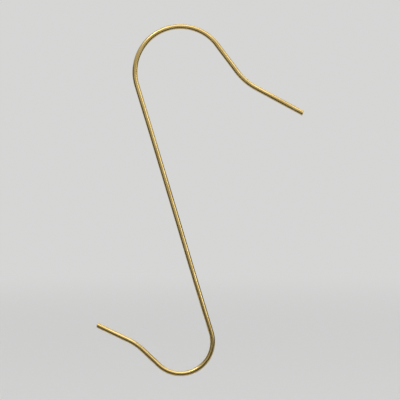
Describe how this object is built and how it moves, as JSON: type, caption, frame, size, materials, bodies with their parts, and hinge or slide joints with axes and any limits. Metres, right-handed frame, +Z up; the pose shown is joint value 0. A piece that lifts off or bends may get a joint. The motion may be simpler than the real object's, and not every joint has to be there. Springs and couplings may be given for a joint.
{
  "type": "ornament hook",
  "caption": "Flat S of thin brass wire: the large bend hangs over a branch, the small bend carries an ornament's loop, and both tails flare open.",
  "frame": {"origin": "seat on the branch: the inside of the large bend's crown, in the middle plane of the wire", "axes": "+Z up along the line of the load, from the ornament's seat to the branch seat; +X towards the large bend's tail; the flat S lies in the XZ plane, so +Y is across the wire"},
  "size_m": [0.0243, 0.0006, 0.0409],
  "materials": {
    "brass_wire": "smooth drawn wire, bright, with paler, grainy shear faces at the two cut ends"
  },
  "bodies": {
    "root": {"wire_hook": "brass_wire"}
  },
  "joints": []
}
